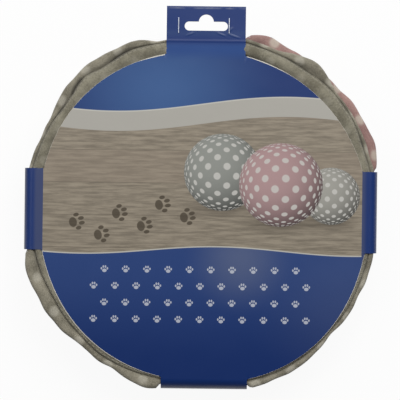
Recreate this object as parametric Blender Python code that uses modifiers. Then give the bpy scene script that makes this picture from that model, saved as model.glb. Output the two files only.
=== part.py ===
"""A collapsible fleece cat tunnel, pushed flat and held in its printed card wrap.

Six spring-steel hoops carry five bays of cloth. Each bay is a fleece panel, a crinkle film and a lining.
Pushed flat, every bay folds out past the hoops and in towards the middle. The pack lies on its back card:
Z is the tunnel's axis, Y points at the hang tab, and the origin is on the axis at the back card's underside.
"""

import math

import bmesh
import bpy
from mathutils import Matrix, Vector

# Driving sizes of the tunnel, in metres
OPENED_LENGTH = 0.500
BAYS = 5
HOOP_RADIUS = 0.125
WIRE_DIAMETER = 0.0016
WIRE_END_GAP = 0.0010
CRIMP_LENGTH = 0.014
CRIMP_WALL = 0.0003
CRIMP_SLIP = 0.0002
BINDING_WIDTH = 0.0068
BINDING_WALL = 0.0005
BINDING_SLIT = 0.0006
BINDING_CREST = 0.0041
FLEECE_THICKNESS = 0.0006
FILM_THICKNESS = 0.0002
LINING_THICKNESS = 0.0005
PLY_GAP = 0.00025
SLOT_CLEARANCE = 0.0004
STRAP_SLACK = 0.0004

# Driving sizes of the folded cloth
FOLD_SPAN = 0.036
FOLD_RISE = 0.00075
FOLD_NOSE = 0.0022
NOSE_SHARE = 0.4
QUARTER_BULGES = (0.0100, 0.0088, 0.0088, 0.0070)
GREY_FULLNESS = (0.70, 1.0, 1.0, 1.0)
PINK_FULLNESS = (1.0, 0.80, 0.75, 0.80)
STRAP_REACH = math.radians(4)
BULGE_REACH = math.radians(30)

# Driving sizes of the card wrap
BOARD = 0.0004
DISC_INSET = 0.0006
DISC_SHIFT = (0.0020, -0.0039)
SIDE_ARM_WIDTH = 0.0613
BOTTOM_ARM_WIDTH = 0.0650
BOTTOM_SHIFT = 0.0038
ARM_FOOT_CLEARANCE = 0.0008
BACK_STRAP_WIDTH = 0.0600
LUG_WIDTH = 0.0460
LUG_HEIGHT = 0.0220
TONGUE_WIDTH = 0.0280
TONGUE_LENGTH = 0.0024
LUG_SHOULDER = 0.0032
BOARD_BEND = 0.0008
GLUE_RADIUS = 0.0060
GLUE_THICKNESS = 0.0002
TAB_WIDTH = 0.0595
TAB_SHIFT = 0.0024
TAB_LENGTH = 0.0214
TAB_BACK_LAP = 0.0205
SLOT_WIDTH = 0.0325
SLOT_HEIGHT = 0.0069
SLOT_FROM_TOP = 0.0150
SLOT_BUMP_RADIUS = 0.00565
SLOT_BUMP_TOP = 0.0122
STAPLE_CROWN = 0.0118
STAPLE_WIRE = 0.0007
STAPLE_CLINCH = 0.0026
STAPLE_FROM_TOP = 0.0145
STAPLE_FROM_LEFT = 0.0090
STAPLE_FROM_RIGHT = 0.0125

# Fits and facets
CLEARANCE = 0.0003
HALF_CREASE = 0.00015
FACETS = 24
DISC_FACETS = 72
WELD = 0.00001

# Sizes worked out from the driving ones
TURN = 2 * math.pi
CLOTH = FLEECE_THICKNESS + FILM_THICKNESS + LINING_THICKNESS + 2 * PLY_GAP
CRIMP_BORE = WIRE_DIAMETER / 2 + CRIMP_SLIP
CRIMP_RADIUS = CRIMP_BORE + CRIMP_WALL
BINDING_HOLLOW = CRIMP_RADIUS + CLEARANCE
BINDING_HALF_HEIGHT = BINDING_HOLLOW + BINDING_WALL
BINDING_HALF_WIDTH = BINDING_WIDTH / 2
HOOP_PITCH = 2 * BINDING_HALF_HEIGHT + CLOTH + 2 * SLOT_CLEARANCE
REAR_HOOP_Z = BOARD + CLEARANCE + BINDING_HALF_HEIGHT
FRONT_HOOP_Z = REAR_HOOP_Z + BAYS * HOOP_PITCH
FRONT_CARD_Z = FRONT_HOOP_Z + BINDING_HALF_HEIGHT + CLEARANCE
DISC_RADIUS = HOOP_RADIUS - DISC_INSET
CLOTH_START = HOOP_RADIUS + BINDING_HALF_WIDTH + CLEARANCE
CLOTH_END = HOOP_RADIUS - BINDING_HALF_WIDTH - CLEARANCE
STRAP_RADIUS = CLOTH_START + CLOTH + STRAP_SLACK
LUG_FACE = STRAP_RADIUS + CLEARANCE
ARM_FACE = LUG_FACE + BOARD + 2 * CLEARANCE + GLUE_THICKNESS
CREASE = ARM_FACE - HALF_CREASE
STUB_END = CREASE - HALF_CREASE
TAB_START = CREASE + HALF_CREASE
TAB_TOP = TAB_START + TAB_LENGTH
TAB_FOLD_Y = TAB_TOP - BOARD - CLEARANCE / 2
STAPLE_Y = TAB_TOP - STAPLE_FROM_TOP
TAB_LEFT = TAB_SHIFT - TAB_WIDTH / 2
TAB_RIGHT = TAB_SHIFT + TAB_WIDTH / 2
TONGUE_TOP = FRONT_CARD_Z - BOARD - 3 * CLEARANCE - GLUE_THICKNESS
MIDDLE_FACET = 270 - 180 / FACETS

# Layers of the cloth, as low and high distances from its middle, with the fleece on the outside
LINING_LAYER = (-CLOTH / 2, LINING_THICKNESS - CLOTH / 2)
FILM_LAYER = (LINING_LAYER[1] + PLY_GAP, LINING_LAYER[1] + PLY_GAP + FILM_THICKNESS)
FLEECE_LAYER = (CLOTH / 2 - FLEECE_THICKNESS, CLOTH / 2)

for old in list(bpy.data.objects):
    bpy.data.objects.remove(old, do_unlink=True)

PARTS = bpy.data.collections.new("cat_tunnel")
CUTTERS = bpy.data.collections.new("cutters")
bpy.context.scene.collection.children.link(PARTS)
bpy.context.scene.collection.children.link(CUTTERS)


# Materials and objects


def linear(level):
    """One channel of a screen colour, 0 to 255, as linear light."""
    share = level / 255
    return share / 12.92 if share <= 0.04045 else ((share + 0.055) / 1.055) ** 2.4


def make_material(name, colour, roughness, metallic=0.0):
    material = bpy.data.materials.new(name)
    material.use_nodes = True
    shader = material.node_tree.nodes["Principled BSDF"]
    shader.inputs["Base Color"].default_value = (*(linear(c) for c in colour), 1)
    shader.inputs["Roughness"].default_value = roughness
    shader.inputs["Metallic"].default_value = metallic
    return material


def place(name, mesh, parent, location, finish):
    """A named part with its own material, at a place in its parent's space."""
    part = bpy.data.objects.new(name, mesh)
    PARTS.objects.link(part)
    part.parent = parent
    part.location = location
    mesh.materials.clear()
    mesh.materials.append(make_material(name, *finish))
    return part


def guide(name, parent, location):
    """An empty on a joint's axis, which carries the parts that move there."""
    empty = bpy.data.objects.new(name, None)
    PARTS.objects.link(empty)
    empty.empty_display_size = 0.02
    empty.parent = parent
    empty.location = location
    return empty


def curve_mesh(name, curve):
    """The mesh of a curve, with its caps welded on."""
    source = bpy.data.objects.new(name, curve)
    PARTS.objects.link(source)
    bpy.context.view_layer.update()
    graph = bpy.context.evaluated_depsgraph_get()
    mesh = bpy.data.meshes.new_from_object(source.evaluated_get(graph))
    bpy.data.objects.remove(source, do_unlink=True)
    bm = bmesh.new()
    bm.from_mesh(mesh)
    bmesh.ops.remove_doubles(bm, verts=bm.verts, dist=WELD)
    bmesh.ops.recalc_face_normals(bm, faces=bm.faces)
    bm.to_mesh(mesh)
    bm.free()
    return mesh


def wire_mesh(name, points, diameter):
    """A round wire along straight runs between points."""
    curve = bpy.data.curves.new(name, "CURVE")
    curve.dimensions = "3D"
    curve.bevel_depth = diameter / 2
    curve.bevel_resolution = 1
    curve.use_fill_caps = True
    spline = curve.splines.new("POLY")
    spline.points.add(len(points) - 1)
    for target, point in zip(spline.points, points):
        target.co = (*point, 1)
    mesh = curve_mesh(name, curve)
    mesh.shade_smooth()
    mesh.set_sharp_from_angle(angle=math.radians(50))
    return mesh


def board_mesh(name, outline, thickness):
    """A die-cut sheet with its underside at z = 0."""
    curve = bpy.data.curves.new(name, "CURVE")
    curve.dimensions = "2D"
    curve.fill_mode = "BOTH"
    curve.extrude = thickness / 2
    spline = curve.splines.new("POLY")
    spline.points.add(len(outline) - 1)
    for target, (x, y) in zip(spline.points, outline):
        target.co = (x, y, 0, 1)
    spline.use_cyclic_u = True
    mesh = curve_mesh(name, curve)
    mesh.transform(Matrix.Translation((0, 0, thickness / 2)))
    return mesh


def turned_mesh(name, section, steps):
    """A closed section of (radius, height) points, turned once round the Z axis."""
    mesh = bpy.data.meshes.new(name)
    count = len(section)
    loop = [(i, (i + 1) % count) for i in range(count)]
    mesh.from_pydata([(r, 0, z) for r, z in section], loop, [])
    source = bpy.data.objects.new(name, mesh)
    PARTS.objects.link(source)
    screw = source.modifiers.new("turn", "SCREW")
    screw.steps = steps
    screw.render_steps = steps
    screw.use_merge_vertices = True
    screw.merge_threshold = WELD
    bpy.context.view_layer.update()
    graph = bpy.context.evaluated_depsgraph_get()
    turned = bpy.data.meshes.new_from_object(source.evaluated_get(graph))
    bpy.data.objects.remove(source, do_unlink=True)
    bm = bmesh.new()
    bm.from_mesh(turned)
    bmesh.ops.recalc_face_normals(bm, faces=bm.faces)
    bm.to_mesh(turned)
    bm.free()
    turned.shade_smooth()
    turned.set_sharp_from_angle(angle=math.radians(40))
    return turned


def around(radius, degrees, height=0.0):
    angle = math.radians(degrees)
    return (radius * math.cos(angle), radius * math.sin(angle), height)


# Bends and folds of the board


def end_faces(bm, direction):
    """The faces that close the sheet's furthest edge in a direction."""
    facing = [f for f in bm.faces if f.normal.dot(direction) > 0.99]
    reach = max(f.calc_center_median().dot(direction) for f in facing)
    return [f for f in facing if f.calc_center_median().dot(direction) > reach - WELD]


def with_edges(faces):
    edges = {e for f in faces for e in f.edges}
    verts = {v for f in faces for v in f.verts}
    return [*faces, *edges, *verts]


def bend_on(bm, faces, centre, axis, angle, steps=3):
    """Carries the sheet on from its end faces round a bend, and returns the new end faces."""
    turned = bmesh.ops.spin(
        bm, geom=with_edges(faces), cent=centre, axis=axis, angle=angle, steps=steps
    )
    return [g for g in turned["geom_last"] if isinstance(g, bmesh.types.BMFace)]


def run_on(bm, faces, offset):
    """Carries the sheet straight on from its end faces, and returns the new end faces."""
    grown = bmesh.ops.extrude_face_region(bm, geom=with_edges(faces))["geom"]
    verts = [g for g in grown if isinstance(g, bmesh.types.BMVert)]
    bmesh.ops.translate(bm, verts=verts, vec=offset)
    old = [f for f in faces if f.is_valid]
    bmesh.ops.delete(bm, geom=old, context="FACES")
    return [g for g in grown if isinstance(g, bmesh.types.BMFace)]


def cut(part, cutter):
    """Cuts a guide shape out of a part."""
    cutter.hide_render = True
    cutter.display_type = "WIRE"
    boolean = part.modifiers.new(cutter.name, "BOOLEAN")
    boolean.operation = "DIFFERENCE"
    boolean.solver = "EXACT"
    boolean.object = cutter


def round_cutter(name, radius, depth, centre, sides):
    bpy.ops.mesh.primitive_cylinder_add(vertices=sides, radius=radius, depth=depth, location=centre)
    cutter = bpy.context.object
    cutter.name = name
    for home in list(cutter.users_collection):
        home.objects.unlink(cutter)
    CUTTERS.objects.link(cutter)
    return cutter


# Hoops: a spring-steel wire with its ends in a crimped sleeve, inside a sewn fleece binding


def hoop_wire():
    """The ring of wire, whose ends meet in the middle of a facet, inside the crimp."""
    half_gap = math.degrees(WIRE_END_GAP / 2 / HOOP_RADIUS)
    flat_radius = HOOP_RADIUS * math.cos(math.pi / FACETS)
    step = 360 / FACETS
    first = MIDDLE_FACET + step / 2
    corners = [around(HOOP_RADIUS, first + step * i) for i in range(FACETS)]
    start = around(flat_radius, MIDDLE_FACET + half_gap)
    end = around(flat_radius, MIDDLE_FACET - half_gap)
    return wire_mesh("hoop_wire", [start, *corners, end], WIRE_DIAMETER)


def crimp_sleeve():
    """The steel sleeve squeezed over the two ends of the wire, straight along one facet."""
    half = CRIMP_LENGTH / 2
    section = [(CRIMP_RADIUS, half), (CRIMP_RADIUS, -half), (CRIMP_BORE, -half), (CRIMP_BORE, half)]
    mesh = turned_mesh("crimp_sleeve", section, 8)
    lay = Matrix.Rotation(math.pi / 2, 4, "X")
    out = Matrix.Translation((HOOP_RADIUS * math.cos(math.pi / FACETS), 0, 0))
    turn = Matrix.Rotation(math.radians(MIDDLE_FACET), 4, "Z")
    mesh.transform(turn @ out @ lay)
    return mesh


def binding_section():
    """The binding wraps the wire from the bore side, where its two edges meet at a slit."""
    slit = BINDING_SLIT / 2
    crest = BINDING_CREST / 2
    outside = [
        (-BINDING_HALF_WIDTH, slit),
        (-crest, BINDING_HALF_HEIGHT),
        (crest, BINDING_HALF_HEIGHT),
        (BINDING_HALF_WIDTH, 0),
        (crest, -BINDING_HALF_HEIGHT),
        (-crest, -BINDING_HALF_HEIGHT),
        (-BINDING_HALF_WIDTH, -slit),
    ]
    inside = [
        (-BINDING_HOLLOW, -slit),
        (-BINDING_HOLLOW, -BINDING_HOLLOW),
        (BINDING_HOLLOW, -BINDING_HOLLOW),
        (BINDING_HOLLOW, BINDING_HOLLOW),
        (-BINDING_HOLLOW, BINDING_HOLLOW),
        (-BINDING_HOLLOW, slit),
    ]
    return [(HOOP_RADIUS + x, z) for x, z in outside + inside]


# Cloth: each layer of a bay is an S fold, out past the hoops and then in towards the middle


def bulge_radius(angle, fullness):
    """How far the cloth bulges past the hoops: least under the four straps, most between them."""
    quarter = int(angle // (TURN / 4)) % 4
    from_strap = angle % (TURN / 4)
    from_strap = min(from_strap, TURN / 4 - from_strap)
    share = (from_strap - STRAP_REACH) / (BULGE_REACH - STRAP_REACH)
    share = min(max(share, 0.0), 1.0)
    smooth = share * share * (3 - 2 * share)
    return STRAP_RADIUS + QUARTER_BULGES[quarter] * fullness[quarter] * smooth


def fold_line(bulge):
    """The middle of the cloth from the upper hoop's outside to the lower hoop's inside."""
    tip = bulge - CLOTH / 2
    fold = bulge - FOLD_SPAN + CLOTH / 2
    nose = min(FOLD_NOSE, NOSE_SHARE * (tip - CLOTH_START))
    top = HOOP_PITCH + FOLD_RISE
    middle = HOOP_PITCH / 2
    return [
        (CLOTH_START, top),
        (tip - nose, top),
        (tip, (top + middle) / 2),
        (tip - nose, middle),
        (fold, middle),
        (fold, -FOLD_RISE),
        (CLOTH_END, -FOLD_RISE),
    ]


def shifted(line, distance):
    """A line moved sideways to its left, with its corners mitred."""
    points = [Vector(p) for p in line]
    ways = [(b - a).normalized() for a, b in zip(points, points[1:])]
    sides = [Vector((-w.y, w.x)) for w in ways]
    moved = [points[0] + sides[0] * distance]
    for point, before, after in zip(points[1:], sides, sides[1:]):
        bisector = (before + after).normalized()
        moved.append(point + bisector * distance / bisector.dot(before))
    moved.append(points[-1] + sides[-1] * distance)
    return moved


def cloth_layer(name, layer, fullness):
    """One layer of a bay, lofted round the axis through its fold at each facet.

    Both sides of a layer are split along like diagonals, so that layers nest.
    """
    bm = bmesh.new()
    rings = []
    for i in range(FACETS):
        angle = TURN * i / FACETS
        line = fold_line(bulge_radius(angle, fullness))
        section = shifted(line, layer[0]) + shifted(line, layer[1])[::-1]
        ring = [bm.verts.new(around(p.x, math.degrees(angle), p.y)) for p in section]
        rings.append(ring)
    side = len(rings[0]) // 2
    for ring, following in zip(rings, rings[1:] + rings[:1]):
        for j, vert in enumerate(ring):
            k = (j + 1) % len(ring)
            if j < side:
                bm.faces.new((vert, following[j], following[k]))
                bm.faces.new((vert, following[k], ring[k]))
            else:
                bm.faces.new((vert, following[j], ring[k]))
                bm.faces.new((following[j], following[k], ring[k]))
    bmesh.ops.recalc_face_normals(bm, faces=bm.faces)
    mesh = bpy.data.meshes.new(name)
    bm.to_mesh(mesh)
    bm.free()
    mesh.shade_smooth()
    mesh.set_sharp_from_angle(angle=math.radians(50))
    return mesh


# Finishes: screen colour, roughness, metallic
GREY_FLEECE = ((140, 136, 118), 0.95)
PINK_FLEECE = ((172, 133, 128), 0.95)
GREY_LINING = ((150, 146, 130), 0.92)
CRINKLE_FILM = ((205, 208, 212), 0.25, 0.6)
SPRING_STEEL = ((150, 152, 156), 0.32, 1.0)
ZINC_STEEL = ((186, 188, 192), 0.38, 1.0)
NAVY_BOARD = ((32, 52, 112), 0.35)
PLAIN_BOARD = ((176, 170, 158), 0.8)
GLUE = ((226, 214, 172), 0.4)

wire = hoop_wire()
crimp = crimp_sleeve()
binding = turned_mesh("binding", binding_section(), FACETS)
BINDING_NAMES = ["rear_hem", *(f"seam_binding_{i}" for i in range(2, BAYS + 1)), "front_hem"]

hoops = []
for number, binding_name in enumerate(BINDING_NAMES, start=1):
    below = hoops[-1] if hoops else None
    height = HOOP_PITCH if hoops else REAR_HOOP_Z
    hoop = guide(f"hoop_{number}", below, (0, 0, height))
    hoops.append(hoop)
    place(f"hoop_wire_{number}", wire.copy(), hoop, (0, 0, 0), SPRING_STEEL)
    place(f"crimp_sleeve_{number}", crimp.copy(), hoop, (0, 0, 0), ZINC_STEEL)
    place(binding_name, binding.copy(), hoop, (0, 0, 0), GREY_FLEECE)

for bay in range(1, BAYS + 1):
    pink = bay % 2 == 0
    fullness = PINK_FULLNESS if pink else GREY_FULLNESS
    fleece = PINK_FLEECE if pink else GREY_FLEECE
    layers = (
        (f"fleece_panel_{bay}", FLEECE_LAYER, fleece),
        (f"crinkle_film_{bay}", FILM_LAYER, CRINKLE_FILM),
        (f"lining_panel_{bay}", LINING_LAYER, GREY_LINING),
    )
    for name, layer, finish in layers:
        place(name, cloth_layer(name, layer, fullness), hoops[bay - 1], (0, 0, 0), finish)


# Front card: a disc with three stubs, folded down into side arms, and a doubled hang tab at the top


# Straps of the wrap in turn from the right: width, and how far each lies from its hoop's middle line
STRAPS = (
    (SIDE_ARM_WIDTH, 0),
    (TAB_WIDTH, -TAB_SHIFT),
    (SIDE_ARM_WIDTH, 0),
    (BOTTOM_ARM_WIDTH, BOTTOM_SHIFT),
)


def strap_ways(quarter):
    """The direction in which a strap runs, and the direction to its left."""
    along = Vector((round(math.cos(quarter * TURN / 4)), round(math.sin(quarter * TURN / 4))))
    return along, Vector((-along.y, along.x))


def disc_angle(quarter, side):
    """The angle about the disc's own centre at which its edge meets one side of a strap."""
    along, across = strap_ways(quarter)
    width, shift = STRAPS[quarter]
    aside = shift + side * width / 2 - across.dot(Vector(DISC_SHIFT))
    return quarter * TURN / 4 + math.asin(aside / DISC_RADIUS)


def front_outline():
    """The disc's arcs between the stubs of the arms and the tab, in turn from the right."""
    outline = []
    for quarter, (width, shift) in enumerate(STRAPS):
        along, across = strap_ways(quarter)
        outline.append(tuple(along * STUB_END + across * (shift - width / 2)))
        outline.append(tuple(along * STUB_END + across * (shift + width / 2)))
        start = disc_angle(quarter, 1)
        end = disc_angle((quarter + 1) % 4, -1)
        if end < start:
            end += TURN
        steps = max(2, round((end - start) * DISC_FACETS / TURN))
        for i in range(steps + 1):
            angle = start + (end - start) * i / steps
            x = DISC_SHIFT[0] + DISC_RADIUS * math.cos(angle)
            y = DISC_SHIFT[1] + DISC_RADIUS * math.sin(angle)
            outline.append((x, y))
    return outline


def hang_tab():
    """The tab's front ply, its fold over the top, and its back ply down behind."""
    corners = [
        (TAB_LEFT, TAB_START),
        (TAB_RIGHT, TAB_START),
        (TAB_RIGHT, TAB_FOLD_Y),
        (TAB_LEFT, TAB_FOLD_Y),
    ]
    mesh = board_mesh("hang_tab", corners, BOARD)
    bm = bmesh.new()
    bm.from_mesh(mesh)
    end = end_faces(bm, Vector((0, 1, 0)))
    centre = (0, TAB_FOLD_Y, -CLEARANCE / 2)
    end = bend_on(bm, end, centre, (1, 0, 0), -math.pi, steps=6)
    run_on(bm, end, (0, -TAB_BACK_LAP, 0))
    bmesh.ops.recalc_face_normals(bm, faces=bm.faces)
    bm.to_mesh(mesh)
    bm.free()
    return mesh


def slot_outline():
    """The straight part of the hanger slot, with round ends."""
    radius = SLOT_HEIGHT / 2
    reach = SLOT_WIDTH / 2 - radius
    outline = []
    for side, first in ((1, -90), (-1, 90)):
        for i in range(7):
            angle = math.radians(first + 30 * i)
            outline.append((side * reach + radius * math.cos(angle), radius * math.sin(angle)))
    return outline


def staple(name, across):
    """A crown on the front, two legs through the board, and their ends clinched together behind."""
    low = -(2 * BOARD + 2 * CLEARANCE + STAPLE_WIRE / 2)
    high = CLEARANCE + STAPLE_WIRE / 2
    half = STAPLE_CROWN / 2 - STAPLE_WIRE / 2
    points = [
        (0, -half + STAPLE_CLINCH, low),
        (0, -half, low),
        (0, -half, high),
        (0, half, high),
        (0, half, low),
        (0, half - STAPLE_CLINCH, low),
    ]
    middle = Vector((across, STAPLE_Y - CREASE, 0))
    place(name, wire_mesh(name, points, STAPLE_WIRE), tab_crease, middle, ZINC_STEEL)


card_slide = guide("front_card_slide", hoops[-1], (0, 0, FRONT_CARD_Z - FRONT_HOOP_Z))
front = board_mesh("front_card", front_outline(), BOARD)
place("front_card", front, card_slide, (0, 0, 0), NAVY_BOARD)

STRAP_NAMES = ("right_arm", "hang_tab", "left_arm", "bottom_arm")
ARMS = [(name, quarter) for quarter, name in enumerate(STRAP_NAMES) if name != "hang_tab"]
arm_height = FRONT_CARD_Z - HALF_CREASE - ARM_FOOT_CLEARANCE
for name, quarter in ARMS:
    width, shift = STRAPS[quarter]
    heading = 90 * quarter
    crease = guide(f"{name}_crease", card_slide, around(CREASE, heading, -HALF_CREASE))
    crease.rotation_euler = (0, 0, math.radians(heading))
    bpy.ops.mesh.primitive_cube_add(size=1)
    block = bpy.context.object
    panel = block.data.copy()
    bpy.data.objects.remove(block, do_unlink=True)
    panel.transform(Matrix.Diagonal((BOARD, width, arm_height, 1)))
    middle = (HALF_CREASE + BOARD / 2, shift, -arm_height / 2)
    place(name, panel, crease, middle, NAVY_BOARD)

tab_crease = guide("hang_tab_crease", card_slide, (0, CREASE, BOARD))
tab = place("hang_tab", hang_tab(), tab_crease, (0, -CREASE, -BOARD), NAVY_BOARD)
slot_y = TAB_TOP - SLOT_FROM_TOP
slot_depth = 20 * BOARD
slot_curve = board_mesh("slot_cutter", slot_outline(), slot_depth)
slot_cutter = bpy.data.objects.new("slot_cutter", slot_curve)
CUTTERS.objects.link(slot_cutter)
slot_cutter.location = (TAB_SHIFT, slot_y, FRONT_CARD_Z - slot_depth / 2)
cut(tab, slot_cutter)
bump_y = slot_y - SLOT_HEIGHT / 2 + SLOT_BUMP_TOP - SLOT_BUMP_RADIUS
bump_place = (TAB_SHIFT, bump_y, FRONT_CARD_Z)
cut(tab, round_cutter("slot_bump_cutter", SLOT_BUMP_RADIUS, slot_depth, bump_place, 16))
staple_places = (
    ("staple_left", TAB_LEFT + STAPLE_FROM_LEFT),
    ("staple_right", TAB_RIGHT - STAPLE_FROM_RIGHT),
)
for name, across in staple_places:
    staple(name, across)
    for side in (-1, 1):
        leg_y = STAPLE_Y + side * (STAPLE_CROWN - STAPLE_WIRE) / 2
        leg_place = (across, leg_y, FRONT_CARD_Z)
        hole = round_cutter(f"{name}_hole", STAPLE_WIRE / 2 + CLEARANCE, slot_depth, leg_place, 8)
        cut(tab, hole)


# Back card: a cross of straps, with its lugs turned up inside the arms and a tongue under the hang tab


def back_outline():
    """A cross whose four straps step in to the width of their lugs."""
    lugs = (LUG_WIDTH, TONGUE_WIDTH, LUG_WIDTH, LUG_WIDTH)
    half = BACK_STRAP_WIDTH / 2
    shoulder = LUG_FACE - LUG_SHOULDER
    bend_start = LUG_FACE - BOARD_BEND
    outline = []
    for quarter, lug in enumerate(lugs):
        along, across = strap_ways(quarter)
        shift = STRAPS[quarter][1]
        inner = half + STRAPS[quarter - 1][1]
        for reach, side in (
            (inner, shift - half),
            (shoulder, shift - half),
            (shoulder, shift - lug / 2),
            (bend_start, shift - lug / 2),
            (bend_start, shift + lug / 2),
            (shoulder, shift + lug / 2),
            (shoulder, shift + half),
        ):
            outline.append(tuple(along * reach + across * side))
    return outline


def back_card():
    mesh = board_mesh("back_card", back_outline(), BOARD)
    bm = bmesh.new()
    bm.from_mesh(mesh)
    bend_start = LUG_FACE - BOARD_BEND
    bend_z = BOARD + BOARD_BEND
    for quarter in range(4):
        turn = math.radians(90 * quarter)
        along = Vector((round(math.cos(turn)), round(math.sin(turn)), 0))
        across = Vector((-along.y, along.x, 0))
        end = end_faces(bm, along)
        centre = along * bend_start + Vector((0, 0, bend_z))
        end = bend_on(bm, end, centre, across, -math.pi / 2)
        if quarter == 1:
            turn_z = TONGUE_TOP - BOARD - BOARD_BEND
            end = run_on(bm, end, (0, 0, turn_z - bend_z))
            outer = along * (LUG_FACE + BOARD + BOARD_BEND) + Vector((0, 0, turn_z))
            end = bend_on(bm, end, outer, across, math.pi / 2)
            run_on(bm, end, along * TONGUE_LENGTH)
        else:
            run_on(bm, end, (0, 0, LUG_HEIGHT - bend_z))
    bmesh.ops.recalc_face_normals(bm, faces=bm.faces)
    bm.to_mesh(mesh)
    bm.free()
    return mesh


place("back_card", back_card(), None, (0, 0, 0), PLAIN_BOARD)


def glue_spot(name, centre, tilt):
    """A flat spot of glue between two laps of board."""
    bpy.ops.mesh.primitive_cylinder_add(vertices=12, radius=GLUE_RADIUS, depth=GLUE_THICKNESS)
    block = bpy.context.object
    spot = block.data.copy()
    bpy.data.objects.remove(block, do_unlink=True)
    spot.transform(tilt)
    place(name, spot, None, centre, GLUE)


glue_reach = ARM_FACE - CLEARANCE - GLUE_THICKNESS / 2
for name, quarter in ARMS:
    along, across = strap_ways(quarter)
    spot = along * glue_reach + across * STRAPS[quarter][1]
    tilt = Matrix.Rotation(quarter * TURN / 4, 4, "Z") @ Matrix.Rotation(math.pi / 2, 4, "Y")
    glue_spot(f"{name}_glue", (spot.x, spot.y, LUG_HEIGHT / 2), tilt)
tongue_middle = LUG_FACE + BOARD + BOARD_BEND + TONGUE_LENGTH / 2
tongue_glue_z = TONGUE_TOP + CLEARANCE + GLUE_THICKNESS / 2
bead_width = TONGUE_WIDTH / 2 / GLUE_RADIUS
bead_depth = (TONGUE_LENGTH / 2 - CLEARANCE) / GLUE_RADIUS
bead = Matrix.Diagonal((bead_width, bead_depth, 1, 1))
glue_spot("tongue_glue", (TAB_SHIFT, tongue_middle, tongue_glue_z), bead)
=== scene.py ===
"""A collapsible cat tunnel, pushed flat in its card wrap: its cloth, its steel and its printed card.

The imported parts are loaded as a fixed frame, and each section dresses one kind of piece, from the hoops
out to the card. Sizes are in metres, and the tunnel's axis is Z.
"""

import math

import bmesh
import bpy
import numpy as np
from mathutils import Matrix, Vector


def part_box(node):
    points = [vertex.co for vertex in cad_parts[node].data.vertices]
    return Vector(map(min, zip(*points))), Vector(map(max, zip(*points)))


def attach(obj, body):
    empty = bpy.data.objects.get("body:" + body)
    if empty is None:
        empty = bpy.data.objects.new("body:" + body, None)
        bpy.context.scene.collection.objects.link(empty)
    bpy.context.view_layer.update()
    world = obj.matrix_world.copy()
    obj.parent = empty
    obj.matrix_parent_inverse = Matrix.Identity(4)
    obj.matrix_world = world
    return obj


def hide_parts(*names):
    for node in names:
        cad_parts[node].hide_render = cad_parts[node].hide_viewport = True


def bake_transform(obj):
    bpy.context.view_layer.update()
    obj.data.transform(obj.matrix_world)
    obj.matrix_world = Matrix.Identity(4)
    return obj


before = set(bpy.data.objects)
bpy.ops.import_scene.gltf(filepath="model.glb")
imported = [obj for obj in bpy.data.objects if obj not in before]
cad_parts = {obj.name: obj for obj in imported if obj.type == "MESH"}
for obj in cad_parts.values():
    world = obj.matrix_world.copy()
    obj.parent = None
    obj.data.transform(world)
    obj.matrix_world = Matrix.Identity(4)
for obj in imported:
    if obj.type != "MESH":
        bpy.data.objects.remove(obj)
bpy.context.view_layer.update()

# Hoops: spring-steel wire, bent round once, with a zinc-plated sleeve crimped over its two ends.
# Both stay as packed, and only take their metal.


class Field:
    """A value that varies over a surface. Sums on it add nodes to its material."""

    def __init__(self, tree, socket):
        self.tree = tree
        self.socket = socket

    def node(self, kind, settings=(), out=0, **inputs):
        """A node of a kind, its settings made first, with values or fields on its sockets."""
        made = self.tree.nodes.new("ShaderNode" + kind)
        for name, value in dict(settings).items():
            setattr(made, name, value)
        for name, value in inputs.items():
            place = int(name[1:]) if name[1:].isdigit() else name.replace("_", " ")
            if isinstance(value, Field):
                self.tree.links.new(made.inputs[place], value.socket)
            else:
                made.inputs[place].default_value = value
        return Field(self.tree, made.outputs[out])

    def sum(self, operation, other=0.0):
        return self.node("Math", {"operation": operation}, s0=self, s1=other)

    def __add__(self, other):
        return self.sum("ADD", other)

    def __mul__(self, other):
        return self.sum("MULTIPLY", other)

    def __sub__(self, other):
        return self.sum("SUBTRACT", other)

    def __truediv__(self, other):
        return self.sum("DIVIDE", other)

    def __rsub__(self, other):
        return self.node("Math", {"operation": "SUBTRACT"}, s0=other, s1=self)

    def step(self, low, high):
        """0 below low and 1 above high, smooth between. Where low is above high, it falls instead."""
        rising = {"interpolation_type": "SMOOTHSTEP"}
        if low < high:
            return self.node("MapRange", rising, Value=self, From_Min=low, From_Max=high)
        return 1 - self.node("MapRange", rising, Value=self, From_Min=high, From_Max=low)

    def noise(self, size, detail=2.0, rough=0.5):
        """Noise from 0 to 1 on this field of places, with grains of about a size in metres."""
        return self.node("TexNoise", Vector=self, Scale=1 / size, Detail=detail, Roughness=rough)

    def mix(self, first, second):
        """The first colour where this field is 0, and the second where it is 1."""
        blend = {"data_type": "RGBA"}
        return self.node("Mix", blend, 2, s0=self, s6=first, s7=second)


def screen(red, green, blue, alpha=1.0):
    """A screen colour, 0 to 255, as linear light."""
    shares = [level / 255 for level in (red, green, blue)]
    light = [s / 12.92 if s <= 0.04045 else ((s + 0.055) / 1.055) ** 2.4 for s in shares]
    return (*light, alpha)


def finish(name, roughness=0.5, metallic=0.0, **sockets):
    """A new material: its shader's node and a field of places on the object."""
    material = bpy.data.materials.new(name)
    material.use_nodes = True
    tree = material.node_tree
    shader = tree.nodes["Principled BSDF"]
    shader.inputs["Roughness"].default_value = roughness
    shader.inputs["Metallic"].default_value = metallic
    for socket, value in sockets.items():
        shader.inputs[socket.replace("_", " ")].default_value = value
    places = tree.nodes.new("ShaderNodeTexCoord")
    return material, shader, Field(tree, places.outputs["Object"]), Field(tree, places.outputs["UV"])


def feed(shader, socket, field):
    """Links a field to one of a shader's sockets."""
    field.tree.links.new(shader.inputs[socket], field.socket)


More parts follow.
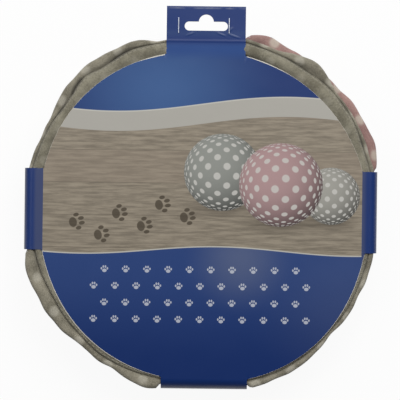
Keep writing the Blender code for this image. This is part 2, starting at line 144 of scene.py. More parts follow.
def bumped(height, depth, normal=None):
    """The normal of a surface whose grain has a depth in metres."""
    inputs = {"Height": height, "Distance": depth, "Strength": 1.0}
    if normal is not None:
        inputs["Normal"] = normal
    return height.node("Bump", **inputs)


def metal(name, colour, dull, roughness):
    """Bare metal with fine scratches and duller patches."""
    material, shader, place, _ = finish(name, roughness, 1.0)
    patches = place.noise(0.006, 3.0)
    feed(shader, "Base Color", patches.step(0.35, 0.7).mix(screen(*colour), screen(*dull)))
    feed(shader, "Roughness", patches * 0.2 + (roughness - 0.1))
    feed(shader, "Normal", bumped(place.noise(0.0004), 0.00001))
    return material


spring_steel = metal("spring_steel", (158, 160, 164), (122, 124, 130), 0.3)
zinc_steel = metal("zinc_steel", (192, 194, 198), (160, 163, 170), 0.36)
bright_staple = metal("bright_staple", (236, 240, 250), (206, 212, 226), 0.45)


def paint(piece, material):
    """Gives a piece one finish and no other."""
    piece.data.materials.clear()
    piece.data.materials.append(material)


def repaint(node, material):
    """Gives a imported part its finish."""
    paint(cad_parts[node], material)


BAYS = 5
HOOPS = BAYS + 1
for hoop in range(1, HOOPS + 1):
    repaint(f"hoop_wire_{hoop}", spring_steel)
    repaint(f"crimp_sleeve_{hoop}", zinc_steel)

# Cloth of the hems and bays: short-napped polyester fleece, printed with a staggered row of white dots.
# Its pattern lies in each piece's own UV map, which is in metres on the flat cloth.

TURN = 2 * math.pi
WIRE_RADIUS = 0.125
DOT_PITCH = 0.0265
DOT_ROW = 0.0132
DOT_RADIUS = 0.0034
DOT_BLUR = 0.0015

# A casing is a strip folded round its hoop: the strip's width, and the stitches in one turn
CASING_GIRTH = 0.022
STITCHES = 224
STITCH_PITCH = TURN * WIRE_RADIUS / STITCHES
STITCH_INSET = 0.0026

# Places along the cloth, in metres, where the painted shade along the seam widens into a dark crease
# shadow
CREASE_SHADOW_PLACES = (0.2585, 0.2965)


def apart(across, along, pitch, row):
    """The distance from the nearest of a staggered pattern of points, from places in metres."""
    halves = []
    for shift in (0.0, 0.5):
        x = (across / pitch + shift).sum("FRACT") - 0.5
        y = (along / (2 * row) + shift).sum("FRACT") - 0.5
        x, y = x * pitch, y * (2 * row)
        halves.append((x * x + y * y).sum("SQRT"))
    return halves[0].sum("MINIMUM", halves[1])


def fleece(name, colour, shade, dot, shift, inked=0.7, stitch=None):
    """Napped cloth: a mottled colour, soft-edged dots from a shift on, and a nap of fine tufts.
    Painted shade darkens it along its seams, widest at the crease places. A casing has stitches on both
    sides of its seam."""
    material, shader, _, uv = finish(name, 0.95, Sheen_Weight=0.2, Sheen_Roughness=0.6)
    uv = uv.node("UVMap", {"uv_map": "flat"})
    around, across = (uv.node("SeparateXYZ", out=i, Vector=uv) for i in (0, 1))
    tufts = uv.noise(0.0011, 3.0, 0.6)
    fluff = uv.noise(0.008, 2.0)
    wear_and_sheen = uv.noise(0.024, 1.0)
    mottle = (tufts * 0.35 + fluff * 0.35 + wear_and_sheen * 0.3).step(0.36, 0.62)
    cloth = mottle.mix(screen(*shade), screen(*colour))
    ragged = apart(around - shift[0], across - shift[1], DOT_PITCH, DOT_ROW) + (fluff - 0.5) * 0.003
    dotted = ragged.step(DOT_RADIUS + DOT_BLUR, DOT_RADIUS - DOT_BLUR) * inked
    cloth = dotted.mix(cloth, screen(*dot))
    from_seam = across
    if stitch:
        from_seam = across.sum("MINIMUM", CASING_GIRTH - across)
    # Painted shade: a dark line along the seam, its strength varying along it and full at the crease
    # places
    seam_shade_strength = around.node("CombineXYZ", X=around).noise(0.014, 1.0).step(0.40, 0.66) * 0.45 + 0.15
    for place in CREASE_SHADOW_PLACES:
        seam_shade_strength = seam_shade_strength.sum("MAXIMUM", (around - place).sum("ABSOLUTE").step(0.012, 0.004))
    seam = (from_seam / (seam_shade_strength * 0.0018 + 0.0018)).step(1.0, 0.0) * seam_shade_strength
    cloth = seam.mix(cloth, screen(62, 58, 46))
    nap = (uv.noise(0.00045, 2.0) * 0.4 + tufts * 0.6) * 0.0004
    if stitch:
        line = (from_seam - STITCH_INSET).sum("ABSOLUTE").step(0.0005, 0.0002)
        dash = ((around / STITCH_PITCH).sum("FRACT") - 0.5).sum("ABSOLUTE").step(0.40, 0.34)
        cloth = (line * dash * 0.7).mix(cloth, screen(*stitch))
        nap = nap + line * (dash * 0.0005 - 0.0003)
    feed(shader, "Base Color", cloth)
    feed(shader, "Normal", bumped(nap, 1.0))
    return material


grey_fleece = fleece(
    "grey_fleece", (150, 144, 127), (108, 103, 88), (194, 189, 174), (0.0191, 0.0042), 0.5
)
pink_fleece = fleece(
    "pink_fleece", (173, 138, 131), (143, 111, 106), (197, 185, 171), (0.0136, 0.0100), 0.8
)
hem_fleece = fleece(
    "hem_fleece", (146, 141, 123), (108, 103, 87), (176, 171, 155), (0.0110, 0.0086), 0.4,
    stitch=(154, 149, 132),
)

# Hems and bindings: a strip of the grey fleece folded round each hoop and sewn along its outer edge.
# The front hem is a wider casing, which hangs off its hoop a little further at the upper right.

RING_STEPS = 400
CASING_STEPS = 36
CASING_DEPTH = 0.0021
CASING_INNER = 0.1216
BINDING_OUTER = 0.1284
HEM_OUTER = 0.1306
HEM_CROWN = 0.13

# The wrap's straps hold the cloth in behind their flat inner face, and it stands free again beyond them
STRAP_FACE = 0.1307
STRAP_OVERLAP = 0.0003
STRAP_EASE = 0.0030
HEM_CLEARANCE = 0.0021
STRAP_NODES = ("right_arm", "hang_tab", "left_arm", "bottom_arm")

# Where the hem's sewn edge stands out or draws in: middle and half width in degrees, and metres
HEM_WAVES = (
    (40, 28, 0.0029),
    (103, 8, -0.0012),
    (116, 8, 0.0018),
    (132, 7, 0.0028),
    (143, 7, -0.0012),
    (200, 24, -0.0020),
    (240, 15, 0.0014),
    (303, 44, 0.0036),
)


def window(angle, middle, reach):
    """1 at a middle angle, falling smoothly to 0 at its reach on both sides. Angles are in radians."""
    away = np.abs((angle - middle + math.pi) % TURN - math.pi) / reach
    return np.where(away < 1, (1 - np.minimum(away, 1) ** 2) ** 2, 0.0)


def strap_edges(quarter):
    """A strap's two edges, as places to the left of its middle line as it is followed outwards."""
    low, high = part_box(STRAP_NODES[quarter])
    edges = (low.y, high.y) if quarter % 2 == 0 else (low.x, high.x)
    return edges if quarter in (0, 3) else (-edges[1], -edges[0])


STRAP_EDGES = np.array([strap_edges(quarter) for quarter in range(4)])


def waves(angle, rows):
    """The sum of swells round the rim. Each has its middle and half width in degrees, and its height."""
    total = 0
    for middle, half, height in rows:
        total = total + height * window(angle, math.radians(middle), math.radians(half))
    return total


def strapped(angle):
    """The radius that a strap's flat face allows, and 0 under the straps up to 1 in the open."""
    quarter = np.round(angle / (TURN / 4)).astype(int) % 4
    aside = (angle + TURN / 8) % (TURN / 4) - TURN / 8
    left = STRAP_FACE * np.tan(aside)
    beyond = np.maximum(STRAP_EDGES[quarter, 0] - left, left - STRAP_EDGES[quarter, 1])
    share = np.clip((beyond + STRAP_OVERLAP) / STRAP_EASE, 0, 1)
    return STRAP_FACE / np.cos(aside), share * share * (3 - 2 * share)


def hem_outer(angle):
    """The front hem's sewn edge, drawn in under the straps of the wrap."""
    edge = HEM_OUTER + waves(angle, HEM_WAVES)
    edge = edge + 0.0003 * np.sin(11 * angle + 0.7) + 0.0002 * np.sin(23 * angle + 2.1)
    limit, open_share = strapped(angle)
    return np.minimum(edge, limit - HEM_CLEARANCE) * (1 - open_share) + edge * open_share


def hem_inner(angle):
    """The front hem's inner edge, which lies further in behind the top of the disc."""
    return CASING_INNER - 0.0020 * window(angle, math.radians(118), math.radians(52))


def binding_inner(angle):
    """A plain binding's inner edge."""
    return CASING_INNER + 0 * angle


DISC_MIDDLE = (0.0020, -0.0039)
DISC_RADIUS = 0.1244

# Where the die-cut edge stands out past the round: middle and half width in degrees, and metres
DISC_BULGES = ((135, 44, 0.0031), (231, 40, 0.0023), (305, 46, 0.0041))


def disc_edge(angle):
    """How far from the axis the printed disc's edge lies."""
    ahead = DISC_MIDDLE[0] * np.cos(angle) + DISC_MIDDLE[1] * np.sin(angle)
    aside = DISC_MIDDLE[0] * np.sin(angle) - DISC_MIDDLE[1] * np.cos(angle)
    return ahead + np.sqrt(DISC_RADIUS**2 - aside**2) + waves(angle, DISC_BULGES)


def binding_outer(angle):
    """A plain binding's sewn edge, a little uneven."""
    return BINDING_OUTER + 0.00015 * np.sin(13 * angle + 0.4)


def placed_grid(name, along, across, shape):
    """A grid of faces whose points a formula places. The formula takes the shares along and across, and
    gives every point's place and its place on the flat piece, which becomes the UV map."""
    bpy.ops.object.select_all(action="DESELECT")
    bpy.ops.mesh.primitive_grid_add(x_subdivisions=along, y_subdivisions=across, size=1)
    piece = bpy.context.object
    piece.name = name
    mesh = piece.data
    places, laid = shape(np.linspace(0, 1, along + 1), np.linspace(0, 1, across + 1)[:, None])
    mesh.vertices.foreach_set("co", np.stack(places, axis=-1).ravel())
    corners = np.empty(len(mesh.loops), dtype=int)
    mesh.loops.foreach_get("vertex_index", corners)
    mesh.uv_layers[0].name = "flat"
    mesh.uv_layers[0].data.foreach_set("uv", np.stack(laid, axis=-1).reshape(-1, 2)[corners].ravel())
    bm = bmesh.new()
    bm.from_mesh(mesh)
    bmesh.ops.remove_doubles(bm, verts=bm.verts, dist=0.000002)
    bm.to_mesh(mesh)
    bm.free()
    mesh.shade_smooth()
    return piece


def casing(name, height, inner, outer, crown):
    """A soft tube round a hoop. Its crown is how much it swells up outside the disc's edge, as a share
    of the width that shows there."""

    def shape(along, across):
        angle = along * TURN + 0 * across
        around = across * TURN + 0 * along
        half = (outer(angle) - inner(angle)) / 2
        ripple = 1 + 0.05 * np.sin(19 * angle + 1.3) + 0.03 * np.sin(37 * angle)
        plump = np.sign(np.sin(around)) * np.abs(np.sin(around)) ** 0.9
        radius = inner(angle) + half * (1 + np.cos(around))
        rise = CASING_DEPTH * plump * ripple
        shown = outer(angle) - disc_edge(angle)
        seat = np.clip((radius - disc_edge(angle) - 0.0002) / (shown + 0.0004), 0, 1)
        swell = crown * shown * strapped(angle)[1] * (1 - (2 * seat - 1) ** 2) ** 1.5
        rise = rise + np.where(plump > 0, swell, 0)
        places = (radius * np.cos(angle), radius * np.sin(angle), height + rise)
        return places, (angle * WIRE_RADIUS, around / TURN * CASING_GIRTH)

    return placed_grid(name, RING_STEPS, CASING_STEPS, shape)


HOOP_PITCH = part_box("hoop_wire_2")[0].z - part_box("hoop_wire_1")[0].z
low_wire, high_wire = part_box("hoop_wire_1")
FIRST_HOOP_Z = (low_wire.z + high_wire.z) / 2
HOOP_HEIGHTS = [FIRST_HOOP_Z + HOOP_PITCH * i for i in range(HOOPS)]
HOOP_BODIES = ["pack_base", *(f"hoop_{i}" for i in range(2, HOOPS + 1))]
CASING_NODES = ["rear_hem", *(f"seam_binding_{i}" for i in range(2, HOOPS)), "front_hem"]
for height, body, node in zip(HOOP_HEIGHTS, HOOP_BODIES, CASING_NODES):
    if node == "front_hem":
        tube = casing(f"{node}_cloth", height, hem_inner, hem_outer, HEM_CROWN)
    else:
        tube = casing(f"{node}_cloth", height, binding_inner, binding_outer, 0.0)
    paint(tube, hem_fleece)
    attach(tube, body)
    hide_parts(node)

# Bays: each is a fleece panel, a crinkle film and a lining, sewn from one hoop to the next.
# Pushed flat, the three fold together, out past the hoops in soft rolls and then in towards the axis.

FOLD_SPAN = 0.0420
BAY_LENGTH = 0.0992
BAY_OPENING = BAY_LENGTH - HOOP_PITCH
CLOTH_STEPS = 84
CLOTH_GATHER = 1.5

# The cloth follows the lower hoop up to the first of these heights above it, and the upper hoop from
# the second on
PULL_LOW = -0.0002
PULL_HIGH = 0.0039

# Rolls of the fleece that stand out round the rim: middle and half width in degrees, and height
RIM = 0.1336
DRAWN_IN = (102, 9, -0.0034)
FRONT_ROLLS = (
    (30, 18, 0.0012),
    (52.5, 14, 0.0078),
    (70, 8, 0.0006),
    (114, 12, 0.0040),
    (129.5, 16, 0.0061),
    (142.5, 8, 0.0024),
    (154, 14, -0.0008),
    (203, 15.5, 0.0062),
    (218, 12, 0.0056),
    (236, 17, 0.0034),
    (251, 11, 0.0054),
    (288, 10, 0.0032),
    (300, 18, 0.0048),
    (326, 9, 0.0010),
    (318, 36, 0.0020),
    (255.5, 6, 0.0020),
    (284, 6, 0.0019),
    (341, 10, 0.0010),
)
SECOND_ROLLS = (
    (45, 38, 0.0060),
    (21, 11, 0.0056),
    (33, 9, 0.0030),
    (59, 8, 0.0022),
    (70, 9.5, 0.0062),
    (125, 20, 0.0028),
    (205, 20, 0.0040),
    (250, 9, 0.0030),
    (297, 16, 0.0030),
)
BACK_ROLLS = (
    (28, 18, 0.0048),
    (54, 15, 0.0046),
    (120, 20, 0.0034),
    (206, 22, 0.0046),
    (250, 9, 0.0030),
    (298, 18, 0.0034),
    (327, 10, 0.0010),
)
MIDDLE_ROLLS = (
    (24, 14, 0.0040),
    (44, 16, 0.0050),
    (67, 9, 0.0030),
    (128, 16, 0.0040),
    (199, 14, 0.0030),
    (218, 16, 0.0034),
    (252, 9, 0.0024),
    (304, 18, 0.0030),
)
BAY_ROLLS = {1: BACK_ROLLS, 2: MIDDLE_ROLLS, 3: BACK_ROLLS, 4: SECOND_ROLLS, 5: FRONT_ROLLS}


def rim(angle, rolls):
    """How far the folded cloth stands out: flat against the straps, in rolls between them."""
    flat, open_share = strapped(angle)
    wrinkle = 0.00022 * np.sin(29 * angle + 0.9) + 0.00016 * np.sin(47 * angle + 2.2)
    loose = RIM + waves(angle, (*rolls, DRAWN_IN)) + wrinkle
    return np.minimum(flat, loose) * (1 - open_share) + loose * open_share


def smoothed(points, rounds=4):
    """Corners of a line cut again and again. Points is a list of (radius, height) arrays."""
    line = np.array(points)
    for _ in range(rounds):
        ahead, behind = line[1:], line[:-1]
        cut = np.empty((2 * len(ahead), *line.shape[1:]))
        cut[0::2] = 0.75 * behind + 0.25 * ahead
        cut[1::2] = 0.25 * behind + 0.75 * ahead
        line = np.concatenate([line[:1], cut, line[-1:]])
    return line


def fold(angle, shares, rolls, start, low_z, wave):
    """The folded bay's middle line at each angle, from the upper hoop to the lower. It gives the radii
    and heights at shares of its length, the slopes there, and the length when the bay is drawn out."""
    begin = start(angle) + 0.0003
    tip = np.maximum(rim(angle, rolls) - 0.0007, begin + 0.0009)
    nose = np.minimum(0.0042, 0.8 * (tip - begin))
    inner = tip - FOLD_SPAN
    puff = np.clip((tip - begin) / 0.008, 0, 1) * strapped(angle)[1]
    lumps = 0.0004 * np.sin(17 * angle + 2 * wave) + 0.0003 * np.sin(31 * angle + wave)
    ridge = 0.42 + 0.14 * np.sin(21 * angle + wave) + 0.10 * np.sin(34 * angle + 2.3 * wave)
    crest = low_z + HOOP_PITCH + 0.0008 + (0.0016 + lumps) * puff
    groove = 0.0005 + 0.0004 * np.sin(9 * angle + wave) * puff

    # Corners of the route: over the roll, round its nose, in to the inner fold and back to the lower hoop
    route = [
        (begin, low_z + HOOP_PITCH - groove),
        (begin + 0.12 * (tip - begin), low_z + HOOP_PITCH + 0.0002),
        (begin + ridge * (tip - begin), crest),
        (tip - nose * 0.4, crest),
        (tip, crest - 0.0003),
        (tip, low_z + 0.0041),
        (tip - nose, low_z + 0.0040),
        (0.1285, low_z + 0.0039),
        (0.1215, low_z + 0.0037),
        (0.1160, low_z + 0.0034),
        (inner + 0.004, low_z + 0.0027),
        (inner, low_z + 0.0024),
        (inner, low_z + 0.0013),
        (inner + 0.004, low_z + 0.0010),
        (0.1160, low_z - 0.0001),
        (CASING_INNER - 0.0004, low_z - 0.0008),
    ]
    line = smoothed([(radius + 0 * angle, height + 0 * angle) for radius, height in route])

    # Fine pleats along the tunnel, deepest at the inner fold
    inside = np.clip((0.121 - line[:, 0]) / 0.02, 0, 1)
    pleat = np.sin(36 * angle + 0.8 * np.sin(5 * angle) + wave)
    line[:, 0] += inside * 0.0016 * pleat
    line[:, 1] += inside * 0.00012 * pleat

    # Shares are taken along the route as it is when the bay is drawn out
    pulled = np.clip((line[:, 1] - low_z - PULL_LOW) / (PULL_HIGH - PULL_LOW), 0, 1)
    drawn_out = line.copy()
    drawn_out[:, 1] += BAY_OPENING * pulled * pulled * (3 - 2 * pulled)
    run = np.cumsum(np.linalg.norm(np.diff(drawn_out, axis=0, prepend=drawn_out[:1]), axis=1), axis=0)
    read = np.empty((len(shares), 2, len(angle)))
    for i in range(len(angle)):
        for side in (0, 1):
            read[:, side, i] = np.interp(shares, run[:, i] / run[-1, i], line[:, side, i])
    slope = np.gradient(read, axis=0)
    return read, slope / (np.linalg.norm(slope, axis=1, keepdims=True) + 1e-12), run[-1]


def panel(name, bay, offset, thickness, steps_round, steps_along):
    """One sheet of a bay, offset from the middle of the three, and as thick as its cloth."""
    start = hem_outer if bay == BAYS else binding_outer
    low_z = HOOP_HEIGHTS[bay - 1]

    def shape(along, across):
        angle = along * TURN
        shares = across[:, 0] ** CLOTH_GATHER
        line, slope, length = fold(angle, shares, BAY_ROLLS[bay], start, low_z, 1.7 * bay)
        radius = line[:, 0] - offset * slope[:, 1]
        height = line[:, 1] + offset * slope[:, 0]
        places = (radius * np.cos(angle), radius * np.sin(angle), height)
        laid = (angle * WIRE_RADIUS + 0 * radius, shares[:, None] * length)
        return places, laid

    sheet = placed_grid(name, steps_round, steps_along, shape)
    wall = sheet.modifiers.new("cloth", "SOLIDIFY")
    wall.thickness = thickness
    wall.offset = 0.0
    bpy.ops.object.modifier_apply(modifier=wall.name)
    return sheet


# The sheets of a bay: their place off the middle of the three, their thickness, and their steps
SHEETS = (
    ("fleece_panel", 0.00035, 0.0004, RING_STEPS, CLOTH_STEPS),
    ("crinkle_film", 0.00000, 0.0001, 360, 48),
    ("lining_panel", -0.00035, 0.0003, 240, 56),
)


def film(name):
    """Thin crackling film, milky and full of small sharp creases."""
    material, shader, place, _ = finish(name, 0.22)
    creases = place.node("TexVoronoi", {"feature": "DISTANCE_TO_EDGE"}, Vector=place, Scale=160.0)
    cloud = place.noise(0.02)
    feed(shader, "Base Color", cloud.mix(screen(206, 210, 214), screen(228, 230, 232)))
    feed(shader, "Normal", bumped(creases.step(0.0, 0.2), 0.0006))
    return material


def lining(name):
    """Plain woven lining: fine warp and weft, a little uneven."""
    material, shader, _, uv = finish(name, 0.9)
    uv = uv.node("UVMap", {"uv_map": "flat"})
    threads = []
    for i in (0, 1):
        place = uv.node("SeparateXYZ", out=i, Vector=uv) * (TURN / 0.0009)
        threads.append(place.sum("SINE"))
    weave = threads[0] * threads[1]
    cloud = uv.noise(0.004)
    cloth = (weave * 0.2 + cloud).step(0.2, 0.8).mix(screen(150, 147, 133), screen(176, 172, 156))
    feed(shader, "Base Color", cloth)
    feed(shader, "Normal", bumped(weave, 0.00008))
    return material


crinkle_film = film("crinkle_film")
grey_lining = lining("grey_lining")
for bay in range(1, BAYS + 1):
    cloth = pink_fleece if bay % 2 == 0 else grey_fleece
    finishes = {"fleece_panel": cloth, "crinkle_film": crinkle_film, "lining_panel": grey_lining}
    for kind, offset, thickness, steps_round, steps_along in SHEETS:
        node = f"{kind}_{bay}"
        sheet = panel(f"{node}_cloth", bay, offset, thickness, steps_round, steps_along)
        paint(sheet, finishes[kind])
        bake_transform(sheet)
        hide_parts(node)

# Card wrap: solid board, printed and varnished on its outside, with a plain grey inside.
# It is die-cut with its disc, arms and tab in one, then folded; its cut edges show the pale core.


def board(name, dark, pale):
    """Plain uncoated board with short fibres and flecks."""
    material, shader, place, _ = finish(name, 0.85)
    fibres = place.noise(0.0012, 4.0, 0.7)
    flecks = place.noise(0.0006, 1.0).step(0.70, 0.78) * 0.5
    pulp = fibres.mix(screen(*dark), screen(*pale))
    feed(shader, "Base Color", flecks.mix(pulp, screen(120, 112, 100)))
    feed(shader, "Normal", bumped(fibres, 0.00004))
    return material


plain_board = board("plain_board", (168, 162, 150), (190, 185, 174))
board_core = board("board_core", (196, 192, 182), (216, 212, 202))

# Its print: a band of pale planks with three dotted balls and a trail of paws, on a blue ground with
# small white paws. The picture is laid out on the flat blank, in metres from the tunnel's axis.

BAND_TOP = 0.080
BAND_FOOT = -0.030
PICTURE_LEFT = -0.1189
PICTURE_RIGHT = 0.1212
TAB_SCORE = 0.1276
DEEP_NAVY = (20, 50, 112)
BLUE_PAW_ROW = 0.0125
BLUE_PAW_PITCH = 0.0160
BLUE_PAW_SIZE = 0.0062
PLANK = 0.0245
TRAIL_LEAN = 0.21
PACE = 0.0165
TRAIL_WIDTH = 0.0130
TRAIL_PAW_SIZE = 0.0140
ARM_FOLD = 0.1313
TAB_FOLD = 0.1538


def paw(x, y, size):
    """1 inside a paw print of a size in metres, whose toes point along y."""
    near = None
    for across, along, wide, long in (
        (0.0, -0.16, 0.27, 0.21),
        (-0.36, 0.08, 0.10, 0.15),
        (-0.13, 0.30, 0.10, 0.16),
        (0.13, 0.30, 0.10, 0.16),
        (0.36, 0.08, 0.10, 0.15),
    ):
        dx = (x / size - across) / wide
        dy = (y / size - along) / long
        away = (dx * dx + dy * dy).sum("SQRT")
        near = away if near is None else near.sum("MINIMUM", away)
    return near.step(1.1, 0.9)


def cell(value, pitch):
    """The number of the repeat that a value lies in, and its place there from the repeat's middle."""
    count = (value / pitch).sum("FLOOR")
    return count, value - (count + 0.5) * pitch


def ball(under, x, y, middle, radius, cloth, dots):
    """A picture with a dotted ball and its soft shadow drawn over it."""
    dx, dy = (x - middle[0]) / radius, (y - middle[1]) / radius
    sunk = dy + 0.93
    shadow = (dx * dx * 0.6 + sunk * sunk * 9).sum("SQRT").step(1.0, 0.2) * 0.45
    apart_from_middle = dx * dx + dy * dy
    rise = (1 - apart_from_middle).sum("MAXIMUM", 0.01).sum("SQRT")
    across, along = dx / (rise + 0.45) + 0.1, dy / (rise + 0.45) + 0.07
    dotted = apart(across, along, 0.36, 0.18).step(0.075, 0.055) * 0.8
    light = (rise * 0.7 - dx * 0.25 + dy * 0.35).step(-0.35, 0.95)
    deep = tuple(0.45 * channel for channel in cloth)
    lit = dotted.mix(light.mix(screen(*deep), screen(*cloth)), screen(*dots))
    ground = shadow.mix(under, screen(70, 62, 52))
    return apart_from_middle.step(1.02, 0.98).mix(ground, lit)


printed, printed_shader, _, blank = finish(
    "printed_board", 0.36, Coat_Weight=0.12, Coat_Roughness=0.2, Specular_IOR_Level=0.35
)
blank = blank.node("UVMap", {"uv_map": "flat"})
blank_x, blank_y = (blank.node("SeparateXYZ", out=i, Vector=blank) for i in (0, 1))
half_width = blank_x.sum("ABSOLUTE")
beside_picture = blank_x.sum("SUBTRACT", PICTURE_RIGHT).sum("MAXIMUM", PICTURE_LEFT - blank_x)
framed = beside_picture.step(0.0001, -0.0001)

top_wave = blank_y - (blank_x * 24).sum("SINE") * 0.006 - BAND_TOP
foot_wave = blank_y - (blank_x * 31 + 1.2).sum("SINE") * 0.003 - BAND_FOOT

# Painted reflection: the upper blue lightens round a middle at its upper left, as lamp light on the
# varnish
reflection_x, reflection_y = blank_x + 0.030, blank_y - 0.090
glow = (reflection_x * reflection_x * 0.6 + reflection_y * reflection_y).sum("SQRT").step(0.075, 0.0)
upper_blue = glow.mix(screen(18, 50, 110), screen(58, 93, 146))
lower_blue = blank_y.step(-0.120, -0.035).mix(screen(4, 42, 104), screen(38, 66, 124))
# Painted reflection: two soft pale glares of lamp light on the varnish of the lower blue
for middle, reach, haze in (((0.030, -0.036), 0.045, 0.28), ((0.112, -0.070), 0.080, 0.08)):
    dx, dy = blank_x - middle[0], blank_y - middle[1]
    painted_glare = (dx * dx + dy * dy).sum("SQRT").step(reach, 0.0) * haze
    lower_blue = painted_glare.mix(lower_blue, screen(136, 142, 154))
blue = blank_y.step(-0.010, 0.010).mix(lower_blue, upper_blue)
# Painted light and shade at the tab's score: lighter just below it, deep navy above it as if the tab
# leaned back
blue_lit_below_score = blank_y.step(TAB_SCORE - 0.016, TAB_SCORE - 0.006).mix(blue, screen(28, 68, 132))
blue = blank_y.step(TAB_SCORE - 0.0045, TAB_SCORE + 0.0002).mix(blue_lit_below_score, screen(*DEEP_NAVY))
blue = ((blank_y - 0.1335).sum("ABSOLUTE").step(0.004, 0.0) * 0.6).mix(blue, screen(38, 64, 116))

row, row_y = cell(blank_y + 0.001, BLUE_PAW_ROW)
_, row_x = cell(blank_x + row.sum("MODULO", 2.0) * (BLUE_PAW_PITCH / 2), BLUE_PAW_PITCH)
in_rows = blank_y.step(-0.091, -0.0905) * blank_y.step(-0.0385, -0.039) * half_width.step(0.084, 0.0835)
blue = (paw(row_x, row_y, BLUE_PAW_SIZE) * in_rows * 0.75).mix(blue, screen(206, 210, 220))

grain = blank.node("CombineXYZ", X=blank_x * 0.10, Y=blank_y)
plank, plank_y = cell(blank_y + 0.004, PLANK)
streaks = grain.noise(0.0022, 4.0, 0.65)
wood = streaks.step(0.3, 0.7).mix(screen(124, 115, 101), screen(160, 149, 132))
wood = (plank.sum("MODULO", 2.0) * 0.35).mix(wood, screen(148, 134, 119))
wood = (plank_y.sum("ABSOLUTE").step(0.01195, 0.0122) * 0.6).mix(wood, screen(92, 84, 72))
wall = top_wave.step(-0.0150, -0.0145).mix(wood, screen(176, 173, 165))

trail = blank_x * math.cos(TRAIL_LEAN) + blank_y * math.sin(TRAIL_LEAN) + 0.102
beside = blank_y * math.cos(TRAIL_LEAN) - blank_x * math.sin(TRAIL_LEAN) - 0.004
pace, pace_along = cell(trail, PACE)
tread = beside + (pace.sum("MODULO", 2.0) - 0.5) * TRAIL_WIDTH
on_trail = trail.step(-0.0001, 0.0001) * trail.step(0.0993, 0.0990)
stepped = paw(tread * -1, pace_along, TRAIL_PAW_SIZE) * on_trail
scene_picture = (stepped * 0.85).mix(wall, screen(72, 63, 50))
for middle, radius, cloth in (
    ((0.016, 0.029), 0.0290, (150, 152, 146)),
    ((0.098, 0.012), 0.0215, (168, 166, 158)),
    ((0.060, 0.020), 0.0315, (182, 150, 150)),
):
    scene_picture = ball(scene_picture, blank_x, blank_y, middle, radius, cloth, (206, 204, 198))
in_band = foot_wave.step(-0.0001, 0.0001) * top_wave.step(0.0001, -0.0001) * framed
keyline = top_wave.sum("ABSOLUTE").sum("MINIMUM", foot_wave.sum("ABSOLUTE")).step(0.0006, 0.0003)
keyline = keyline * framed * 0.8
arm_blue = beside_picture.step(0.0, 0.0006).mix(blue, screen(*DEEP_NAVY))
# Painted reflection: a violet-grey band of lamp light on each side stub, where the card starts to curve
# into its arm
leftward = blank_x * -1
lamp_reflection_band = leftward.step(0.1270, 0.1235) * leftward.step(0.1180, 0.1190)
lamp_reflection_band = lamp_reflection_band.sum("MAXIMUM", blank_x.step(0.1200, 0.1210) * blank_x.step(0.1255, 0.1215))
arm_blue = (lamp_reflection_band * beside_picture.step(0.0, 0.0004) * 0.85).mix(arm_blue, screen(66, 76, 112))
# Painted sheen: the arms' outer bends and sides turn greyish, as light grazing the varnish
wear_and_sheen = half_width.sum("MAXIMUM", blank_y * -1).step(0.1295, 0.1350) * 0.6
arm_blue = wear_and_sheen.mix(arm_blue, screen(58, 66, 90))
inked = keyline.mix(in_band.mix(arm_blue, scene_picture), screen(206, 204, 194))

speckle = blank.noise(0.0009, 3.0, 0.6)
from_tab_fold = (blank_y - TAB_FOLD).sum("ABSOLUTE")
fold_line = (half_width - ARM_FOLD).sum("ABSOLUTE").sum("MINIMUM", from_tab_fold)
rubbed_and_glinting = fold_line.step(0.0022, 0.0) * speckle.step(0.56, 0.72) * 0.35
# A pale streak just under the tab's top fold: partly rubbed ink, partly a painted highlight of the fold
streak = (blank_y - (TAB_FOLD - 0.0015)).sum("ABSOLUTE").step(0.0010, 0.0)
rubbed_and_glinting = rubbed_and_glinting.sum("MAXIMUM", streak * blank.noise(0.012).step(0.35, 0.6) * 0.4)
# Creases round the slot: real bumps, with a painted highlight in lighter blue along each ridge
crease_bumps_and_glints = None
for middle, half_length, lean in (
    ((0.0137, 0.1328), 0.0050, -0.38),
    ((0.0230, 0.1317), 0.0070, -0.33),
    ((-0.0095, 0.1328), 0.0045, 0.40),
    ((0.0208, 0.1362), 0.0035, 0.9),
):
    dx, dy = blank_x - middle[0], blank_y - middle[1]
    along = (dx * math.cos(lean) + dy * math.sin(lean)).sum("ABSOLUTE").step(half_length, 0.0)
    ridge = (dy * math.cos(lean) - dx * math.sin(lean)).sum("ABSOLUTE").step(0.0013, 0.0) * along
    crease_bumps_and_glints = ridge if crease_bumps_and_glints is None else crease_bumps_and_glints + ridge
inked = (crease_bumps_and_glints * 0.45).mix(inked, screen(66, 84, 128))
feed(printed_shader, "Base Color", rubbed_and_glinting.mix(inked, screen(150, 154, 168)))
feed(printed_shader, "Roughness", speckle * 0.08 + 0.33)
score = (blank_y - TAB_SCORE).sum("ABSOLUTE").step(0.0016, 0.0) * 0.00012
orange_peel = blank.noise(0.0016, 2.0) * 0.00001
sag = blank.noise(0.030, 1.0) * 0.0004
feed(printed_shader, "Normal", bumped(score + orange_peel + sag + crease_bumps_and_glints * 0.00025, 1.0))

# Front card: the disc, with the stubs that its arms and tab run out of. Its edge is pressed down a
# little by the die, and its lower right stands out past the round.

BOARD = 0.0004
BEND = 0.0060
CARD_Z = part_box("front_card")[1].z
ARM_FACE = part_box("right_arm")[1].x
TAB_ROOT = 0.1313
CARD_RINGS = 26
ARC_STEPS = 110
STUB_STEPS = 9
PRESSED = 0.00012
PAPER_EDGES = ((222, 50, 0.0006), (68, 15, 0.0006), (106, 9, 0.0007), (330, 24, 0.0003))
STRAP_REACH = (ARM_FACE - BEND, TAB_ROOT, ARM_FACE - BEND, ARM_FACE - BEND)


def turned(out, left, quarter):
    """Places from their distance out along a strap and to its left."""
    c, s = ((1, 0), (0, 1), (-1, 0), (0, -1))[quarter]
    return c * out - s * left, s * out + c * left


